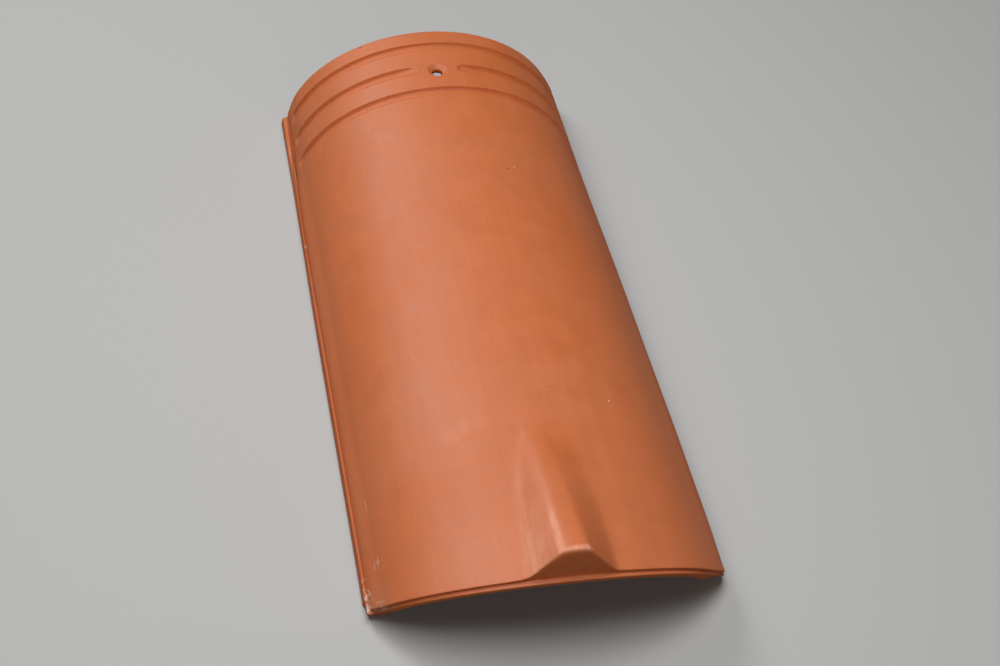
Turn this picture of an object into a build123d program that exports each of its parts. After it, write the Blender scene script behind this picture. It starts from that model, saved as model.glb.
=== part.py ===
from build123d import *
from math import sqrt
import os

os.makedirs("parts", exist_ok=True)

# Overall sizes of the barrel, in millimetres, from its wide end to its narrow end
whole_length = 450
wide_width = 206
narrow_width = 184
wide_rise = 66.5
narrow_rise = 74
wall = 12
span_count = 7

# The section is the top of an ellipse whose centre lies a little under the floor line
centre_drop = 2

# The wide end is cut on a slant, so that its crown reaches past the side edges
crown_lead = 37

# The moulded ledge that runs round the wide end and along both side edges
ledge_step = 2.5
ledge_reach = 4
rim_reach = 3
rim_height = 9
rim_round = 1.5

# Three shallow grooves near the narrow end, each with its steep wall on the narrow side
groove_width = 9.5
groove_depth = 2
groove_overlap = 1
groove_setbacks = (12, 33.5, 55)
groove_foot_height = 15
split_groove = 1
split_gap = 28.5

# The nail hole on the crown, in line with the split groove
nail_radius = 3.3
sink_radius = 6.7
sink_angle = 90
nail_setback = 39

# The hump over the next tile's fixing, which rises along the crown towards the wide end
hump_length = 105
hump_height = 21
hump_half_width = 25
hump_half_crest = 8
hump_crest_drop = 1.2
hump_width_shares = (0.5, 0.84, 0.97, 1)
hump_hollow_share = 0.7
hump_sink = 1
hump_root = 6

# Places along the barrel: the origin lies under the middle of the tile
wide_crown = -whole_length / 2
wide_feet = wide_crown + crown_lead
narrow_end = whole_length / 2
overrun = wall
ledge_rise = wide_rise - ledge_step
hump_end = wide_crown + ledge_reach
hump_last = len(hump_width_shares) - 1


# Width and rise of the outer skin at a place along the barrel
def skin_at(along):
    share = (along - wide_crown) / whole_length
    width = wide_width + (narrow_width - wide_width) * share
    rise = wide_rise + (narrow_rise - wide_rise) * share
    return width, rise


# Half-axes of the section's ellipse at a place along the barrel
def axes_at(along):
    width, rise = skin_at(along)
    tall = rise + centre_drop
    broad = width / 2 / sqrt(1 - (centre_drop / tall) ** 2)
    return broad, tall


# Height and slope of the outer skin at a place along and across the barrel
def skin_point(along, across):
    broad, tall = axes_at(along)
    level = sqrt(1 - (across / broad) ** 2)
    return tall * level - centre_drop, -tall / broad * (across / broad) / level


# Solid barrel between two places, its surface set in from the outer skin by a distance at each
def filled(near, far, near_inset, far_inset, spans):
    with BuildPart() as block:
        for station in range(spans + 1):
            along = near + (far - near) * station / spans
            inset = near_inset + (far_inset - near_inset) * station / spans
            broad, tall = axes_at(along)
            with BuildSketch(Plane.XZ.offset(-along)):
                with Locations((0, -centre_drop)):
                    Ellipse(broad - inset, tall - inset)
        loft(ruled=True)
    return block.part


# Everything in front of the wide end's slanted cut, with the cut moved back by a distance
def in_front(back):
    with BuildPart() as cutter:
        with BuildSketch(Plane.YZ):
            with BuildLine():
                Polyline(
                    (wide_feet + back + crown_lead, -ledge_rise),
                    (wide_crown + back - crown_lead, ledge_rise * 2),
                    (wide_crown - whole_length, wide_rise * 2),
                    (wide_crown - whole_length, -wide_rise),
                    close=True,
                )
            make_face()
        extrude(amount=wide_width, both=True)
    return cutter.part


# Hump from its low start to its upright end, or the hollow that lies below it by a wall
def hump_body(end, below, width_share):
    with BuildPart() as body:
        for station, station_share in enumerate(hump_width_shares):
            share = station / hump_last
            along = end + hump_length * (1 - share)
            half = hump_half_width * station_share * width_share
            crest = hump_half_crest * station_share * width_share
            middle = (half + crest) / 2
            foot, slope = skin_point(along, half)
            foot = foot - hump_sink - below
            root = foot - hump_root
            top = skin_point(along, 0)[0] + hump_height * share - hump_sink * (1 - share) - below
            shoulder = top - hump_crest_drop * share
            flank = (foot + shoulder) / 2
            with BuildSketch(Plane.XZ.offset(-along)):
                with BuildLine():
                    Spline(
                        (-half, foot), (-middle, flank), (-crest, shoulder), (0, top),
                        (crest, shoulder), (middle, flank), (half, foot),
                        tangents=((1, -slope), (1, slope)),
                    )
                    Polyline((half, foot), (half, root), (-half, root), (-half, foot))
                make_face()
        loft()
    return body.part


# One groove's cutter: a tall slot across the barrel, less the groove's sloping floor
def groove_cut(steep, is_split):
    slot_width = groove_width + groove_overlap
    middle = steep - slot_width / 2
    with BuildPart() as cut:
        with BuildSketch(Plane.YZ):
            with Locations((middle, groove_foot_height + wide_rise)):
                SlotOverall(wide_rise * 2, slot_width, rotation=90)
        extrude(amount=wide_width, both=True)
        if is_split:
            with BuildSketch(Plane.XY):
                with Locations((split_gap / 2, middle)):
                    SlotOverall(wide_width, slot_width, align=(Align.MIN, Align.CENTER))
                mirror(about=Plane.YZ)
            extrude(amount=wide_width, mode=Mode.INTERSECT)
        add(filled(steep - groove_width * 2, steep, -groove_depth, groove_depth, 1), mode=Mode.SUBTRACT)
    return cut.part


# Ledge round the wide end, lower than the skin by the step
with BuildPart() as ledge:
    add(filled(wide_crown - overrun, narrow_end, ledge_step, ledge_step, span_count))
    add(in_front(0), mode=Mode.SUBTRACT)

# Rims along the two side edges, which stand out past the skin
with BuildPart() as rims:
    for along in (wide_feet, narrow_end):
        edge = skin_at(along)[0] / 2
        with BuildSketch(Plane.XZ.offset(-along)) as rim_section:
            with Locations((edge + rim_reach, 0)):
                Rectangle(wall, rim_height, align=(Align.MAX, Align.MIN))
            fillet(rim_section.vertices().group_by(Axis.X)[-1], radius=rim_round)
    loft(ruled=True)
    mirror(about=Plane.YZ)

with BuildPart() as roof_tile:
    # Upper skin and hump, cut back from the wide end to leave the ledge in front of them
    add(filled(wide_crown - overrun, narrow_end, 0, 0, span_count))
    add(hump_body(hump_end, 0, 1))
    add(in_front(ledge_reach), mode=Mode.SUBTRACT)
    add(ledge.part)
    add(rims.part)

    # Hollow of the barrel and of the hump, open downwards
    add(filled(wide_crown - overrun * 2, narrow_end + overrun, wall, wall, span_count), mode=Mode.SUBTRACT)
    add(hump_body(hump_end + wall, wall, hump_hollow_share), mode=Mode.SUBTRACT)
    split(bisect_by=Plane.XY, keep=Keep.TOP)

    # Grooves across the crown, with rounded ends just above the rims
    for number, setback in enumerate(groove_setbacks):
        add(groove_cut(narrow_end - setback, number == split_groove), mode=Mode.SUBTRACT)

    # Nail hole, sunk for the nail's head
    nail_along = narrow_end - nail_setback
    with Locations((0, nail_along, skin_point(nail_along, 0)[0])):
        CounterSinkHole(nail_radius, sink_radius, depth=wall * 2, counter_sink_angle=sink_angle)

roof_tile.part.label = "roof_tile"
export_step(roof_tile.part, "parts/roof_tile.step")
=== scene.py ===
from math import acos, ceil, cos, hypot, pi, sin, sqrt

import bmesh
import bpy
from mathutils import Matrix, Vector, noise


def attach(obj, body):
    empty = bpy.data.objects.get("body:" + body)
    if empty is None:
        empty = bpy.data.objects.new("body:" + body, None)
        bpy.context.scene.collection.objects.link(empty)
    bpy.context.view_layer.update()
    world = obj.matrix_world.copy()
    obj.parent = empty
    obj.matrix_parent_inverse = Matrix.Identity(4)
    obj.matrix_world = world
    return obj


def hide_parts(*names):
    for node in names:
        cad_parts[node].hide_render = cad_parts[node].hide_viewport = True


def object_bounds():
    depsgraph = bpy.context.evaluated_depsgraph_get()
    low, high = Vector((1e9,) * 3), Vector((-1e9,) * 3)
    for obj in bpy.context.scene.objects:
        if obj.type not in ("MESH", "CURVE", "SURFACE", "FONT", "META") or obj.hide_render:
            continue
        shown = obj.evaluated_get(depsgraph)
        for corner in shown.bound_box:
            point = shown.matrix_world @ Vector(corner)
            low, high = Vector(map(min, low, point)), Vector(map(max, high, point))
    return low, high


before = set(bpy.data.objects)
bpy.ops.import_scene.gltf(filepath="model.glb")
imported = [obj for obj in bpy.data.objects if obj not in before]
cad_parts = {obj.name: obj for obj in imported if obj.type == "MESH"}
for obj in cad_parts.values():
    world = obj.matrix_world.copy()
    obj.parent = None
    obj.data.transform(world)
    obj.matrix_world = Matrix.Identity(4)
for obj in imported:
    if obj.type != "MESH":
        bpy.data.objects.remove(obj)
cad_low, cad_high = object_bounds()
mm = 0.001

# The camera stands beyond the wide end, a little to the tile's left, and looks down on it.
# It is a long lens, held a few degrees out of level.
camera_place = Vector((-298.0, -972.2, 1091.0)) * mm
camera_yaw = 0.3061
camera_pitch = 0.8100
camera_roll = 0.1451
camera_lens = 86.4
camera_sensor = 36

camera_data = bpy.data.cameras.new("camera")
camera_data.lens = camera_lens
camera_data.sensor_width = camera_sensor
camera = bpy.data.objects.new("camera", camera_data)
turn = Matrix.Rotation(-camera_yaw, 4, "Z") @ Matrix.Rotation(pi / 2 - camera_pitch, 4, "X")
camera.rotation_euler = (turn @ Matrix.Rotation(camera_roll, 4, "Z")).to_euler()
camera.location = camera_place
bpy.context.scene.collection.objects.link(camera)
bpy.context.scene.camera = camera

# The floor is a plain pale sheet that carries on past every edge of the view. It is matt, and takes
# the tile's shadow. It throws no more light up at the tile than the real grey floor did.
floor_reach = 6
floor_colour = (0.5, 0.5, 0.49, 1)
bounce_colour = (0.24, 0.235, 0.22, 1)

floor_mesh = bpy.data.meshes.new("floor")
bm = bmesh.new()
bmesh.ops.create_grid(bm, x_segments=1, y_segments=1, size=floor_reach)
bm.to_mesh(floor_mesh)
bm.free()
floor = bpy.data.objects.new("floor", floor_mesh)
bpy.context.scene.collection.objects.link(floor)
floor_paint = bpy.data.materials.new("floor_paint")
floor_paint.use_nodes = True
floor_shader = floor_paint.node_tree.nodes["Principled BSDF"]
floor_shader.inputs["Roughness"].default_value = 0.9
floor_path = floor_paint.node_tree.nodes.new("ShaderNodeLightPath")
floor_seen = floor_paint.node_tree.nodes.new("ShaderNodeMath")
floor_seen.operation = "MAXIMUM"
floor_mix = floor_paint.node_tree.nodes.new("ShaderNodeMix")
floor_mix.data_type = "RGBA"
floor_mix.inputs[6].default_value = bounce_colour
floor_mix.inputs[7].default_value = floor_colour
floor_links = floor_paint.node_tree.links
floor_links.new(floor_path.outputs["Is Camera Ray"], floor_seen.inputs[0])
floor_links.new(floor_path.outputs["Is Glossy Ray"], floor_seen.inputs[1])
floor_links.new(floor_seen.outputs["Value"], floor_mix.inputs[0])
floor_links.new(floor_mix.outputs[2], floor_shader.inputs["Base Color"])
floor_mesh.materials.append(floor_paint)

# The light is one long soft box over the tile, a second one behind it on the left, whose sheen
# lies along the crown, a weak one in front, and a faint even glow all round.
glow_level = 0.04
boxes = {
    "top_box": ((-0.1, -0.18, 1.3), (0.5, 1.0), 12.2),
    "back_box": ((-0.72, 1.12, 1.215), (0.7, 0.7), 12),
    "front_box": ((-0.2, -1.5, 0.7), (1.2, 0.8), 2.5),
}

world = bpy.data.worlds.new("glow")
bpy.context.scene.world = world
world.use_nodes = True
world.node_tree.nodes["Background"].inputs["Color"].default_value = (1, 1, 1, 1)
world.node_tree.nodes["Background"].inputs["Strength"].default_value = glow_level
for name, (place, size, power) in boxes.items():
    box_data = bpy.data.lights.new(name, "AREA")
    box_data.shape = "RECTANGLE"
    box_data.size, box_data.size_y = size
    box_data.energy = power
    box = bpy.data.objects.new(name, box_data)
    box.location = place
    box.rotation_euler = (-Vector(place)).to_track_quat("-Z", "Y").to_euler()
    bpy.context.scene.collection.objects.link(box)
bpy.context.scene.view_settings.view_transform = "Standard"

# The roof tile is one slab of red clay, pressed over a mould into a tapered half barrel,
# dried and fired. Here too it starts as a flat sheet, which is bent to the mould row by row.
wide_half = 103 * mm
narrow_half = 92 * mm
wide_rise = 66.5 * mm
narrow_rise = 74 * mm
wall = 12 * mm
centre_drop = 2 * mm
wide_crown = cad_low.y
narrow_end = cad_high.y
crown_lead = 37 * mm
step = 2.5 * mm
rim_height = 9 * mm
feet_height = wide_rise - step


def half_axes(along):
    """Half-axes of the outer skin's ellipse at a place along the barrel."""
    share = (along - wide_crown) / (narrow_end - wide_crown)
    half = wide_half + (narrow_half - wide_half) * share
    tall = wide_rise + (narrow_rise - wide_rise) * share + centre_drop
    return half / sqrt(1 - (centre_drop / tall) ** 2), tall


def smooth(low, high, value):
    """Soft step from 0 at low to 1 at high."""
    t = min(1, max(0, (value - low) / (high - low)))
    return t * t * (3 - 2 * t)


# Rows of the sheet, each with its distance behind the slanted wide end, its depth below the skin
# and its share of the hump's rise, in millimetres: first the rounded lip, the ledge and the step up
lip_rows = [
    (0.0, 3.7, 0), (0.08, 3.2, 0), (0.3, 2.85, 0), (0.65, 2.6, 0), (1.1, 2.5, 0), (1.9, 2.5, 0),
    (2.7, 2.5, 0), (3.2, 2.42, 0.02), (3.5, 2.15, 0.06), (3.65, 1.7, 0.13), (3.75, 1.25, 0.24),
    (3.85, 0.85, 0.42), (3.95, 0.5, 0.62), (4.1, 0.26, 0.8), (4.4, 0.12, 0.9), (4.9, 0.04, 0.955),
    (5.6, 0.01, 0.985), (6.5, 0, 1),
]
rows = [(wide_crown + back * mm, depth * mm, share) for back, depth, share in lip_rows]

# Then the plain skin, closer together over the hump and round the nail hole and grooves
slant_end = -150 * mm
hump_start = -116 * mm
hole_along = narrow_end - 39 * mm
coarse_row = 2.5 * mm
hump_row = 1.4 * mm
fine_row = 0.6 * mm
end_round = 1.6 * mm
end_steps = 5


def add_rows(target, spacing):
    """More rows up to a place along the barrel, evenly spaced."""
    start = rows[-1][0]
    count = ceil((target - start) / spacing)
    for number in range(1, count + 1):
        rows.append((start + (target - start) * number / count, 0, 1))


add_rows(hump_start + 10 * mm, hump_row)
add_rows(hole_along - 52 * fine_row, coarse_row)
add_rows(hole_along, fine_row)
hole_row = len(rows) - 1
add_rows(narrow_end - end_round, fine_row)
for number in range(1, end_steps + 1):
    bend = number / end_steps * pi / 2
    rows.append((narrow_end - end_round + end_round * sin(bend), end_round * (1 - cos(bend)), 1))
last_row = len(rows) - 1

# The hump over the next tile's fixing climbs along the crown and ends upright at the lip. It has a
# flat top and two flanks, the right one with the sharper shoulder, and the skin swells beside it.
hump_end = wide_crown + 4 * mm
hump_height = 21 * mm
left_crest = 8.5 * mm
left_foot = 24.5 * mm
right_crest = 7 * mm
right_foot = 25 * mm
right_draw = 7 * mm


def ramp(value, softness):
    """The value where it is above 0, else 0, with a soft bend between the two."""
    return (sqrt(value * value + softness * softness) + value) / 2


def hump_flank(side, start):
    """Crest and foot of one flank, and how soft the bends at both are. Start is 0 at the upright end, and
    1 where the hump starts to rise."""
    if side < 0:
        crest = left_crest * (1 - 0.45 * start)
        foot = left_foot * (1 - 0.45 * start - 0.2 * start ** 3)
        return crest, foot, 0.2 + 0.15 * start, 0.2 + 0.12 * start
    crest = right_crest * (1 - 0.3 * start)
    foot = right_foot - right_draw * start ** 2
    return crest, foot, 0.08 + 0.1 * start, 0.11 + 0.25 * start


def hump_rise(across, along, width_share):
    """Height of the hump over the skin."""
    share = (hump_start - along) / (hump_start - hump_end)
    climb = min(1, ramp(share, 0.07))
    crest, foot, top_bend, foot_bend = hump_flank(across, 1 - min(1, max(0, share)))
    t = (foot * width_share - abs(across)) / (foot - crest) / width_share
    flank = max(0, ramp(t, foot_bend) - ramp(t - 1, top_bend))
    middle = ramp(foot / (foot - crest), foot_bend) - ramp(foot / (foot - crest) - 1, top_bend)
    return hump_height * climb * flank / middle * smooth(-1.3, -0.3, t)


swell_height, swell_run = 0.9 * mm, 60 * mm
swell_middle, swell_half = -24 * mm, 30 * mm
swell_fade, swell_stop = 25 * mm, 105 * mm
crease_height, crease_run = 0.5 * mm, 6.5 * mm
crease_start, crease_bend = -112 * mm, 6 * mm
crease_peak, crease_peak_half = -43 * mm, 11 * mm


def broad_swell(across, along):
    """Height of the low swelling to the left of the hump, which starts at a soft crease."""
    offset = (across - swell_middle) / swell_half
    back = crease_start - crease_bend * offset * offset - along
    fade = max(0, 1 - offset * offset) * (1 - smooth(swell_fade, swell_stop, back))
    peak = 0.3 + 0.7 * max(0, 1 - ((across - crease_peak) / crease_peak_half) ** 2)
    crease = crease_height * peak * smooth(0, crease_run, back)
    return fade * (swell_height * smooth(0, swell_run, back) + crease)


# The grooves have a steep wall towards the narrow end, and a nearly flat floor that rises the other way
groove_width = 7.4 * mm
groove_depth = 2.3 * mm
groove_setbacks = (12 * mm, 33.5 * mm, 55 * mm)
groove_foot = 15 * mm
groove_fade = 16 * mm
groove_margin = 1.2 * mm
split_groove = 1
split_half = 14.2 * mm
split_fade = 12 * mm
undrawn_half = 12 * mm
wall_run = 0.4 * mm
wall_draw = 1.5 * mm
burr_height, burr_reach = 0.12 * mm, 1.1 * mm


def drawn_to_wall(along, across):
    """The place of a row, drawn towards a groove's steep wall to keep the wall sharp. The gap in the split
    groove has no wall, and isn't drawn."""
    for number, setback in enumerate(groove_setbacks):
        gap = along - (narrow_end - setback)
        if abs(gap) < wall_draw and (number != split_groove or abs(across) > undrawn_half):
            return along - gap * (1 - (abs(gap) / wall_draw) ** 0.7)
    return along


def groove_dip(across, along, height):
    """Depth of the grooves below the skin. A fine burr stands along each groove's easy edge."""
    dip, burr = 0, 0
    radius = groove_width / 2
    for number, setback in enumerate(groove_setbacks):
        offset = along - (narrow_end - setback - radius)
        if abs(offset) > radius + groove_margin:
            continue
        end_gap = height - groove_foot - radius
        if number == split_groove:
            end_gap = min(end_gap, abs(across) - split_half - radius)
        inside = radius - (hypot(offset, end_gap) if end_gap < 0 else abs(offset))
        way = min(1, max(0, (offset + radius) / groove_width))
        slope = 0.72 * smooth(0, 0.32, way) + 0.28 * way
        depth = groove_depth * (0.45 + 0.55 * smooth(0, groove_fade, height - groove_foot))
        if number == split_groove:
            depth *= 0.55 + 0.45 * smooth(0, split_fade, abs(across) - split_half)
        stand = max(0, 1 - abs(offset + radius) / burr_reach) * smooth(-2 * mm, 4 * mm, end_gap)
        burr = max(burr, burr_height * stand)
        dip = max(dip, depth * slope * smooth(-wall_run * 0.4, wall_run * 0.7, inside))
    return dip - burr


# The skin's foot flares a little above the left rim, and runs out into the right one in one sweep.
# The whole skin is a little uneven. The least and the further flare are counted in millimetres.
least_flare, further_flare = 0.7, 1.3
left_flare_height = 22 * mm
left_pinch, left_pinch_height = 1.4 * mm, 26 * mm
right_flare, right_flare_height = 3.9 * mm, 34 * mm
uneven_depth = 0.16 * mm
uneven_size = 55 * mm


def left_flare(along):
    """How far the left foot of the skin stands out, less by the narrow end."""
    return (least_flare + further_flare * smooth(200 * mm, 135 * mm, along)) * mm


def foot_pinch(along):
    """How far the left foot of the skin is drawn in towards the narrow end."""
    return left_pinch * smooth(100 * mm, 190 * mm, along)


def rim_bow(side, along):
    """How much further out than its mean line a rim stands, as a share: the narrow half is drawn in."""
    if side < 0:
        return -0.2 * smooth(10 * mm, 150 * mm, along)
    out = 0.2 * smooth(20 * mm, -90 * mm, along) * smooth(-188 * mm, -150 * mm, along)
    return out - 0.45 * smooth(10 * mm, 150 * mm, along)


def relief(x, y, z):
    """Distance of the finished skin outside the plain barrel."""
    uneven = noise.noise(Vector((x, y * 0.6, z)) / uneven_size) * uneven_depth
    if x < 0:
        flare = left_flare(y) * (1 - smooth(rim_height, left_flare_height, z))
        flare -= foot_pinch(y) * (1 - smooth(rim_height, left_pinch_height, z))
    else:
        flare = right_flare * (1 - smooth(rim_height * 0.6, right_flare_height, z)) * (1 + rim_bow(1, y))
    return flare + uneven - groove_dip(x, y, z)


# The right foot is cut a little short at the wide end, and the left rim at the narrow end
right_setback = 3 * mm
right_setback_run, right_setback_height = 40 * mm, 15 * mm
stub_setback, stub_run = 2.5 * mm, 12 * mm


def foot_setback(side, along, height):
    """How far the foot's end is set back at the wide end."""
    near = smooth(wide_crown + right_setback_run, wide_crown, along)
    return right_setback * near * (1 - smooth(0, right_setback_height, height)) if side > 0 else 0


def slanted(along, height):
    """A place along the barrel, moved back below the crown by the slant of the wide end."""
    fade = max(0, (slant_end - along) / (slant_end - wide_crown))
    return along + crown_lead * (1 - height / feet_height) * fade


def bent(turn_share, row, inset, foot):
    """A point of the skin, and its normal, from its angle as a share of the half section and its row."""
    along, depth, _ = row
    y = along
    for _ in range(3):
        broad, tall = half_axes(y)
        angle = turn_share * acos((foot + centre_drop) / (tall - inset))
        z = (tall - depth - inset) * cos(angle) - centre_drop
        y = slanted(along, z) + foot_setback(turn_share, along, z)
    x = (broad - depth - inset) * sin(angle)
    return Vector((x, y, z)), Vector((sin(angle) / broad, 0, cos(angle) / tall)).normalized()


# The nail hole is drawn from a block of the sheet's grid into a circle
hole_reach = 2.4


def drawn(place, half_across, half_along, radius, inset):
    """A place on the sheet, once the block round the nail hole is pulled into a circle."""
    u, v = place.x / half_across, (place.y - hole_along) / half_along
    square = max(abs(u), abs(v))
    if square < 1e-6 or square > hole_reach:
        return place
    share = 1 - smooth(1, hole_reach, square)
    reach = radius * square / hypot(u, v)
    x = place.x + (u * reach - place.x) * share
    y = place.y + (hole_along + v * reach - place.y) * share
    broad, tall = half_axes(y)
    return Vector((x, y, (tall - inset) * sqrt(1 - (x / (broad - inset)) ** 2) - centre_drop))


def sheet(columns, crown_share):
    """A flat grid with its vertices by column and row, and each column's share of the half section."""
    made = bmesh.ops.create_grid(bm, x_segments=columns, y_segments=last_row, size=1)["verts"]
    places = {(round((v.co.x + 1) / 2 * columns), round((v.co.y + 1) / 2 * last_row)): v for v in made}
    even = [column / columns * 2 - 1 for column in range(columns + 1)]
    shares = [k * (crown_share + (1 - crown_share) * k * k) for k in even]
    return places, shares


def cut_block(places, middle, half_columns, half_rows):
    """Takes the block round the nail hole out of a sheet, and returns the edges left round it."""
    inner = {places[c, r] for c in range(middle - half_columns, middle + half_columns + 1)
             for r in range(hole_row - half_rows, hole_row + half_rows + 1)}
    block = [f for f in bm.faces if all(v in inner for v in f.verts)]
    bmesh.ops.delete(bm, geom=block, context="FACES")
    return [e for e in bm.edges if e.is_boundary and e.verts[0] in inner and e.verts[1] in inner]


# The outer skin, with the hump, the grooves and the place of the nail hole
sink_radius = 6.7 * mm
outer_columns = 200
outer_crown_share = 0.8
outer_block = (6, 11)
side_margin = 0.05 * mm
bm = bmesh.new()
outer, shares = sheet(outer_columns, outer_crown_share)
block_half = bent(shares[outer_columns // 2 + outer_block[0]], rows[hole_row], 0, rim_height)[0].x
for (column, row), vert in outer.items():
    along, depth, rise_share = rows[row]
    along = drawn_to_wall(along, shares[column] * narrow_half)
    place, normal = bent(shares[column], (along, depth, rise_share), 0, rim_height)
    if abs(row - hole_row) < 3 * outer_block[1] and abs(column - outer_columns // 2) < 3 * outer_block[0]:
        place = drawn(place, block_half, outer_block[1] * fine_row, sink_radius, 0)
    lift = hump_rise(place.x, place.y, 1) * rise_share + broad_swell(place.x, place.y)
    vert.co = place + normal * relief(*place) + Vector((0, 0, lift))
    vert.co.x = min(vert.co.x, cad_high.x - side_margin)
rim_edges = {}
for side, column in ((-1, 0), (1, outer_columns)):
    edge_verts = {outer[column, row] for row in range(last_row + 1)}
    rim_edges[side] = [e for e in bm.edges if e.is_boundary and edge_verts.issuperset(e.verts)]
hole_edges = cut_block(outer, outer_columns // 2, *outer_block)

# The nail hole is sunk for a nail's head, then straight, and breaks out wider on the underside. Its
# rings are a radius and a depth in millimetres.
break_out = 12 * mm
hole_rings = [
    (6.45, 0.14), (6.1, 0.36), (3.8, 1.9), (3.42, 2.25), (3.3, 2.7), (3.3, 5.0), (4.1, 5.8), (8.0, 9.2),
]
crown_height = half_axes(hole_along)[1] - centre_drop
ring_radius = sink_radius
for radius, depth in hole_rings:
    made = bmesh.ops.extrude_edge_only(bm, edges=hole_edges)["geom"]
    ring = [g for g in made if isinstance(g, bmesh.types.BMVert)]
    hole_edges = [g for g in made if isinstance(g, bmesh.types.BMEdge) and all(v in ring for v in g.verts)]
    scale = radius * mm / ring_radius
    ring_radius = radius * mm
    bmesh.ops.scale(bm, vec=(scale, scale, 1), space=Matrix.Translation((0, -hole_along, 0)), verts=ring)
    for vert in ring:
        vert.co.z = crown_height - depth * mm

# The rims along the feet, as steps out and heights in millimetres. The left one has a crevice and a flash
# ridge, and a third number where its height differs by the narrow end. The right one carries on the
# skin's sweep.
narrow_start, narrow_full = 150 * mm, 205 * mm
crevice_out = 1.1
crevice_depth = 1.6 * mm
crevice_start, crevice_full = 20 * mm, 120 * mm
rim_sections = {
    -1: [
        (0.9, 8.5), (crevice_out, 7.6), (1.35, 8.5), (1.6, 8.85), (1.9, 8.85), (2.2, 8.4, 7.8),
        (2.6, 7.1, 6.9), (3.05, 5.4, 6.9), (3.5, 3.7, 7.8), (3.9, 2.2, 7.3), (4.12, 1.2, 4),
        (4.05, 0.5), (3.7, 0.0), (-2.0, 0.0), (-8.5, 0.0), (-10.3, 0.0),
    ],
    1: [
        (2.9, 8.2), (3.2, 7.4), (3.45, 6.6), (3.65, 5.8), (3.82, 5.0), (3.95, 4.2), (4.05, 3.4),
        (4.12, 2.6), (4.15, 1.8), (4.1, 1.1), (3.95, 0.6), (3.7, 0.2), (3.3, 0.0), (-2.0, 0.0),
        (-8.5, 0.0), (-10.3, 0.0),
    ],
}


def rim_point(side, row, out, height, narrow_height=None):
    """A point of a rim at a row of the sheet, from its step out and its height in millimetres."""
    along, depth, _ = rows[row]
    rounding = max(0, depth - step if row < len(lip_rows) else depth)
    foot, _ = bent(side, (along, 0, 1), 0, rim_height)
    x = foot.x + side * out * mm * (1 + rim_bow(side, foot.y) * smooth(0, 3, out))
    z = height * mm
    if narrow_height is not None:
        z += (narrow_height - height) * mm * smooth(narrow_start, narrow_full, foot.y)
    if side < 0 and out > 0:
        x += foot_pinch(foot.y) * max(0, 1 - max(0, out - 2) / 2.1)
        x -= (left_flare(foot.y) - least_flare * mm) * (1 - smooth(2.2, 4.1, out))
        if out == crevice_out:
            z -= crevice_depth * smooth(crevice_start, crevice_full, foot.y)
    x -= side * rounding * smooth(1.2, 3.6, out)
    z += rounding if height <= 0.5 else -rounding * smooth(2 * mm, 8 * mm, z)
    y = slanted(along, z) + foot_setback(side, along, z)
    if side < 0:
        near_end = smooth(narrow_end - stub_run, narrow_end, along)
        y -= stub_setback * near_end * smooth(0.5 * mm, 8 * mm, z)
    return Vector((x, y, z))


for side, edges in rim_edges.items():
    column = 0 if side < 0 else outer_columns
    row_of = {outer[column, row]: row for row in range(last_row + 1)}
    for out, *heights in rim_sections[side]:
        before = dict(row_of)
        made = bmesh.ops.extrude_edge_only(bm, edges=edges)["geom"]
        new = {g for g in made if isinstance(g, bmesh.types.BMVert)}
        edges = [g for g in made if isinstance(g, bmesh.types.BMEdge) and new.issuperset(g.verts)]
        row_of = {}
        for vert in new:
            old = next(e.other_vert(vert) for e in vert.link_edges if e.other_vert(vert) in before)
            row_of[vert] = before[old]
            vert.co = rim_point(side, row_of[vert], out, *heights)
    rim_edges[side] = edges

# The inner skin is plain, with a hollow under the hump
inner_columns = 72
inner_crown_share = 0.5
inner_block = (6, 20)
inner_foot = 0.6 * mm
hollow_share = 0.7
hollow_sink = 1 * mm
hollow_start = hump_end + wall - 1 * mm
hollow_full = hump_end + wall + 1.5 * mm
inner, shares = sheet(inner_columns, inner_crown_share)
block_half = bent(shares[inner_columns // 2 + inner_block[0]], rows[hole_row], wall, inner_foot)[0].x
for (column, row), vert in inner.items():
    along, depth, _ = rows[row]
    rounding = max(0, depth - step) if row < len(lip_rows) else depth
    place, normal = bent(shares[column], (along, -rounding, 1), wall, inner_foot)
    if abs(row - hole_row) < 2.5 * inner_block[1] and abs(column - inner_columns // 2) < 3 * inner_block[0]:
        place = drawn(place, block_half, inner_block[1] * fine_row, break_out, wall)
    hollow = hump_rise(place.x, place.y - wall, hollow_share)
    hollow = max(0, hollow - hollow_sink) * smooth(hollow_start, hollow_full, place.y)
    vert.co = place + Vector((0, 0, hollow))
for side, column in ((-1, 0), (1, inner_columns)):
    edge_verts = {inner[column, row] for row in range(last_row + 1)}
    edges = [e for e in bm.edges if e.is_boundary and e.verts[0] in edge_verts and e.verts[1] in edge_verts]
    bmesh.ops.bridge_loops(bm, edges=rim_edges[side] + edges)
bmesh.ops.bridge_loops(bm, edges=hole_edges + cut_block(inner, inner_columns // 2, *inner_block))

# The left corner at the wide end has been knocked off
corner = Vector((-105.5, -188, 0)) * mm
corner_reach = 8 * mm
corner_loss = Vector((1.8, 0.5, 0)) * mm
for vert in bm.verts:
    gap = (vert.co - corner).length / corner_reach
    if gap < 1:
        vert.co += corner_loss * (1 - gap * gap)

# Both ends are closed with triangles
for end in (wide_crown, narrow_end):
    edges = [e for e in bm.edges if e.is_boundary and abs(e.verts[0].co.y - end) < abs(end)]
    bmesh.ops.triangle_fill(bm, use_beauty=True, edges=edges, normal=(0, 1, 0))
bmesh.ops.recalc_face_normals(bm, faces=bm.faces)
if bm.calc_volume(signed=True) < 0:
    bmesh.ops.reverse_faces(bm, faces=bm.faces)

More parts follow.
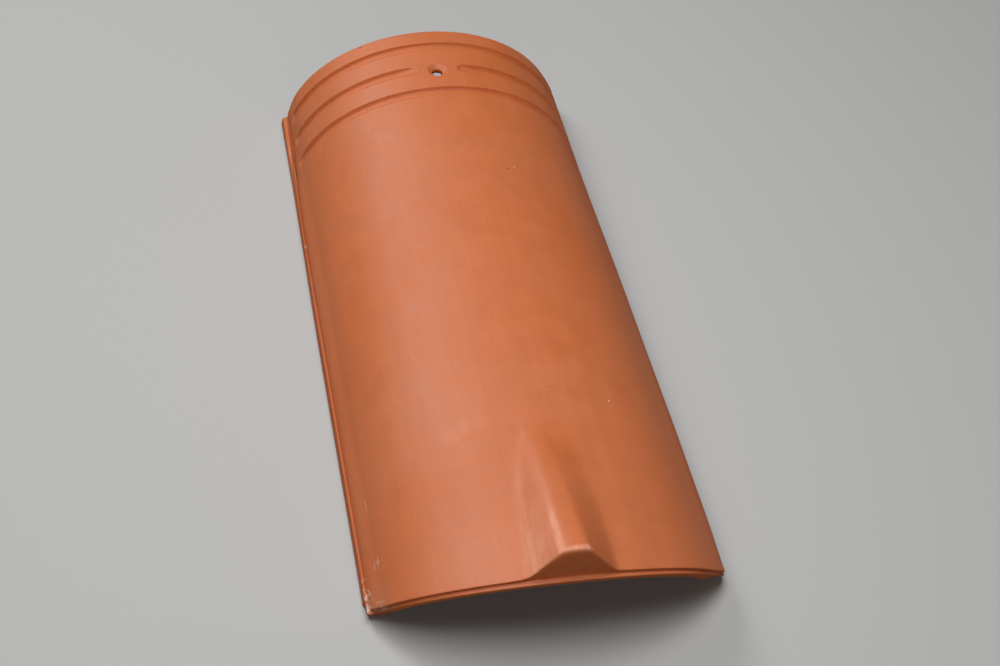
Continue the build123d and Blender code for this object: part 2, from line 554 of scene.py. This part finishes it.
tile_mesh = bpy.data.meshes.new("clay_tile")
bm.to_mesh(tile_mesh)
bm.free()
for polygon in tile_mesh.polygons:
    polygon.use_smooth = True
tile = bpy.data.objects.new("clay_tile", tile_mesh)
bpy.context.scene.collection.objects.link(tile)
weighted = tile.modifiers.new("flat_faces", "WEIGHTED_NORMAL")
weighted.keep_sharp = True

# Each mark is a place and a reach in millimetres, and a strength: a pale film with painted sheen on the
# skin left of the hump, painted highlights along the top edge of the hump's end and in an arc where the
# swell beside it starts, fresh breaks at the corners and on a few edges, and dust along the left rim and
# at the corners. The faces at the wide end and the underside are cut or bare, and stay dull.
mark_places = {
    "film_and_painted_sheen": [
        ((-50, -205, 52), 40, 0.1), ((-62, -90, 48), 60, 0.05),
        ((-8, -220, 85.6), 2.8, 0.6), ((-4.5, -220, 87), 2.8, 0.7), ((-1, -220, 87.4), 2.8, 0.75),
        ((2.5, -220, 87.4), 2.8, 0.8), ((6, -220, 86.8), 3.2, 0.9),
        ((-47, -113, 62), 9, 0.2), ((-38, -109, 64), 8, 0.16), ((-30, -108, 66), 8, 0.1),
    ],
    "break": [
        ((-104, -190, 1), 6, 1), ((-104.5, -189, 8.5), 4.5, 1), ((-104, -182, 9), 3, 0.8),
        ((-101, -191, 4), 3.4, 1), ((-95, -168, 22), 2.4, 0.6), ((-92.4, -201.5, 24.5), 2, 0.8),
        ((-99, -191, 12), 3, 0.85),
        ((-96.5, -195.5, 17.5), 2.6, 0.75), ((-105, -176, 8.6), 2.6, 0.8),
        ((103, -187.5, 9), 3, 0.85), ((104, -186, 3), 2.6, 0.7), ((24.3, -224.4, 63.6), 1.6, 0.7),
        ((7.5, -219.8, 86), 2.6, 0.6), ((3.5, -220, 87), 2, 0.42), ((-1, -220, 87.4), 2, 0.38),
        ((-97, 97.7, 8.5), 1.8, 0.9),
    ],
    "dust": [
        ((-90, -194, 14), 16, 0.7), ((-101, -150, 9), 6, 0.4), ((-100, -60, 9), 5, 0.3),
        ((-97, 60, 9), 5, 0.35), ((-94, 160, 9), 7, 0.55), ((-92, 215, 9), 8, 0.5), ((98, -190, 6), 8, 0.45),
    ],
}


def painted_flank_sheen(place):
    """Painted sheen on the hump's left flank: a band inside its foot, and a painted highlight in a streak
    along the crest's edge.
    """
    share = (hump_start - place.y) / (hump_start - hump_end)
    crest, foot, _, _ = hump_flank(-1, 1 - min(1, max(0, share)))
    inside = foot + 2 * mm + place.x
    band = smooth(-2 * mm, 5 * mm, inside) * (0.5 + 0.5 * smooth(15 * mm, 5 * mm, inside))
    band *= smooth(-1 * mm, -10 * mm, place.x) * smooth(0.1, 0.6, share)
    band *= 0.24 + 0.66 * smooth(0.45, 0.9, share)
    streak = 1 - smooth(0, 3.4 * mm, abs(place.x + crest))
    return max(band, streak * smooth(0.55, 0.8, share))


painted_sheen_floor = 60 * mm
cut_values = tile_mesh.attributes.new("cut", "FLOAT", "POINT").data
for vert in tile_mesh.vertices:
    cut_values[vert.index].value = max(smooth(0.45, 0.8, -vert.normal.y), smooth(0, -0.3, vert.normal.z))
for layer, marks in mark_places.items():
    values = tile_mesh.attributes.new(layer, "FLOAT", "POINT").data
    for vert in tile_mesh.vertices:
        on_hump = vert.co.z > painted_sheen_floor and hump_end - 0.3 * mm < vert.co.y < hump_start
        value = painted_flank_sheen(vert.co) if layer == "film_and_painted_sheen" and on_hump else 0
        for place, reach, strength in marks:
            gap = (vert.co - Vector(place) * mm).length / (reach * mm)
            if gap < 1:
                value = max(value, strength * (1 - gap * gap))
        # The pale film and the painted sheen are kept to faces turned up towards the lamps
        if layer == "film_and_painted_sheen":
            value *= smooth(0.2, 0.55, vert.normal.z)
        values[vert.index].value = value

clay = bpy.data.materials.new("fired_clay")
clay.use_nodes = True
clay_shader = clay.node_tree.nodes["Principled BSDF"]


def clay_node(kind, inputs, **settings):
    """A node of the clay's material. An input is a number, a colour or another node's output."""
    node = clay.node_tree.nodes.new("ShaderNode" + kind)
    for name, value in settings.items():
        setattr(node, name, value)
    for name, value in inputs.items():
        if isinstance(value, bpy.types.NodeSocket):
            clay.node_tree.links.new(value, node.inputs[name])
        else:
            node.inputs[name].default_value = value
    return node


spot = clay_node("TexCoord", {}).outputs["Object"]


def grain_of(scale, detail, stretch=None):
    """Cloudy noise over the clay, 0 to 1 and mostly near the middle."""
    place = spot
    if stretch:
        place = clay_node("VectorMath", {0: spot, 1: stretch}, operation="MULTIPLY").outputs["Vector"]
    return clay_node("TexNoise", {"Vector": place, "Scale": scale, "Detail": detail}).outputs["Fac"]


def spread(value, low, high, to_low, to_high):
    """A value moved from one range to another, held inside it."""
    ends = {"Value": value, "From Min": low, "From Max": high, "To Min": to_low, "To Max": to_high}
    return clay_node("MapRange", ends).outputs["Result"]


def product(first, second):
    """Two values multiplied."""
    return clay_node("Math", {0: first, 1: second}, operation="MULTIPLY").outputs["Value"]


def total(first, second):
    """Two values added."""
    return clay_node("Math", {0: first, 1: second}, operation="ADD").outputs["Value"]


def blended(share, first, second, way="MIX"):
    """Two colours mixed by a share."""
    return clay_node("Mix", {0: share, 6: first, 7: second}, data_type="RGBA", blend_type=way).outputs[2]


def layer_of(name):
    """One of the mesh's own layers of marks."""
    return clay_node("Attribute", {}, attribute_name=name).outputs["Fac"]


def gap_to(place):
    """Distance to a place on the tile, which is given in millimetres."""
    return clay_node("VectorMath", {0: spot, 1: Vector(place) * mm}, operation="DISTANCE").outputs["Value"]


# The clay's colour drifts in soft clouds between orange and rose, with finer patches, faint streaks
# along the tile from the press, and a fine sandy grain
clouds = grain_of(14, 2)
patches = grain_of(60, 3)
streaks = grain_of(1, 2, (150, 7, 150))
grain = grain_of(950, 2)
orange_clay, rose_clay = (0.602, 0.15, 0.042, 1), (0.6, 0.162, 0.054, 1)
colour = blended(spread(clouds, 0.35, 0.65, 0, 1), orange_clay, rose_clay)
for value, depth in ((patches, 0.03), (streaks, 0.025), (grain, 0.06)):
    level = spread(value, 0.3, 0.7, 1 - depth, 1 + depth)
    level = clay_node("CombineColor", {"Red": level, "Green": level, "Blue": level})
    colour = blended(1, colour, level.outputs["Color"], "MULTIPLY")

# A pale film, with painted sheen and highlights on the hump and beside it, lies in fine lengthwise wisps
wisps = spread(total(grain_of(1, 3, (420, 60, 420)), product(streaks, 0.5)), 0.6, 0.9, 0.65, 1)
film_and_painted_sheen = product(layer_of("film_and_painted_sheen"), wisps)
film_and_sheen_tint = (0.88, 0.38, 0.24, 1)
colour = blended(product(film_and_painted_sheen, 0.95), colour, film_and_sheen_tint)

# Small dark pits and pale grains of chalk are strewn over the surface
dark_pit, chalk_grain = (0.34, 0.08, 0.025, 1), (0.8, 0.45, 0.32, 1)
pits = []
for scale, few, size, tint in ((170, 0.93, 0.08, dark_pit), (120, 0.95, 0.06, chalk_grain)):
    cell = clay_node("TexVoronoi", {"Vector": spot, "Scale": scale})
    cell_draw = clay_node("SeparateColor", {"Color": cell.outputs["Color"]}).outputs["Red"]
    chosen = spread(cell_draw, few, few + 0.02, 0, 1)
    pit = product(chosen, spread(cell.outputs["Distance"], size * 0.5, size, 1, 0))
    colour = blended(product(pit, 0.6), colour, tint)
    pits.append(pit)

# Single specks: a place and a radius in millimetres, and pale or dark
pale_speck, dark_speck = (0.9, 0.8, 0.72, 1), (0.16, 0.045, 0.02, 1)
specks = [
    ((50.9, -95.4, 58.8), 0.36, pale_speck), ((33.2, 97, 67.2), 0.34, pale_speck),
    ((28.7, 94.8, 68.4), 0.5, dark_speck), ((-46.2, 184.7, 63.4), 0.7, dark_speck),
    ((-44.6, 223, 64.5), 0.7, dark_speck),
]
for place, radius, tint in specks:
    colour = blended(spread(gap_to(place), radius * mm * 0.7, radius * mm * 1.8, 0.9, 0), colour, tint)

# Fine scratches, and a line of painted shade along the crevice by the left rim, are thin arcs: each has a
# middle and a centre for its bend, in millimetres, half its length, how plain it is and its colour
flecks = grain_of(1, 5, (1100, 420, 900))
bared, painted_crevice_shade = (0.84, 0.58, 0.44, 1), (0.12, 0.035, 0.015, 1)
scratches_and_crevice_shade = [
    ((-102.2, -181.2, 9), (-95.5, -176, 11), 4.5, 1, bared),
    ((-100.3, -181.9, 10.6), (-125, -190, 0), 8, 0.7, bared),
    ((-95, -167.9, 22.7), (-100.7, -166.4, 12.1), 5, 0.5, bared),
    ((-96.9, -167.7, 19), (-93.9, -169.7, 25.4), 3.5, 0.5, bared),
    ((-95.1, -126.7, 20.9), (-117.6, -128.1, -25), 6, 0.4, bared),
    ((-103.5, -183, 9), (-90, -160, 40), 6, 0.6, bared), ((-105, -172, 8.8), (-95, -176, 2), 5, 0.8, bared),
    # The last arc is painted shade along the crevice by the left rim
    ((-97, -195, 16), (-60, -170, 10), 7, 0.5, bared), ((-92.6, 186, 7.5), (1908, 137, 7.5), 27, 0.8, painted_crevice_shade),
]
for middle, bend, half_length, strength, tint in scratches_and_crevice_shade:
    radius = (Vector(middle) - Vector(bend)).length * mm
    gap = clay_node("Math", {0: gap_to(bend), 1: radius}, operation="SUBTRACT").outputs["Value"]
    gap = clay_node("Math", {0: gap}, operation="ABSOLUTE").outputs["Value"]
    line = spread(gap, 0.25 * mm, 0.6 * mm, strength, 0)
    line = product(line, spread(gap_to(middle), half_length * 0.6 * mm, half_length * mm, 1, 0))
    colour = blended(product(line, spread(flecks, 0.4, 0.6, 0.25, 1)), colour, tint)

# Breaks are pale and rough with a ragged rim, and dust is a dull grey brown
fresh_break, grey_dust = (0.78, 0.58, 0.46, 1), (0.34, 0.235, 0.17, 1)
ragged = total(layer_of("break"), product(spread(flecks, 0.3, 0.7, 0, 1), 0.9))
broken = product(spread(ragged, 0.85, 1.05, 0, 1), spread(layer_of("break"), 0.02, 0.15, 0, 1))
colour = blended(product(broken, 0.8), colour, fresh_break)
dust = product(layer_of("dust"), spread(grain_of(130, 4), 0.4, 0.65, 0.1, 1))
colour = blended(product(dust, 0.75), colour, grey_dust)
clay.node_tree.links.new(colour, clay_shader.inputs["Base Color"])

# The sheen is soft and uneven, and goes at a glancing view, as it does on rough clay
roughness = total(spread(patches, 0.3, 0.7, 0.5, 0.6), product(total(broken, dust), 0.25))
clay.node_tree.links.new(roughness, clay_shader.inputs["Roughness"])
facing = clay_node("LayerWeight", {"Blend": 0.5}).outputs["Facing"]
dull = total(total(broken, dust), layer_of("cut"))
sheen = product(spread(facing, 0.3, 0.85, 0.62, 0.03), spread(dull, 0, 1, 1, 0.12))
clay.node_tree.links.new(sheen, clay_shader.inputs["Specular IOR Level"])

# Fine relief: sandy grain, soft unevenness of the pressed skin, pits, and the rough face of breaks
height = total(product(grain, 0.04), product(grain_of(2600, 1), 0.015))
height = total(height, product(grain_of(75, 2), 0.25))
height = total(height, product(pits[0], -0.12))
height = total(height, product(product(broken, grain_of(700, 3)), 0.9))
relief_bump = clay_node("Bump", {"Height": height, "Distance": 1 * mm, "Strength": 0.6})
clay.node_tree.links.new(relief_bump.outputs["Normal"], clay_shader.inputs["Normal"])
tile_mesh.materials.append(clay)

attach(tile, "root")
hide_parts("roof_tile")
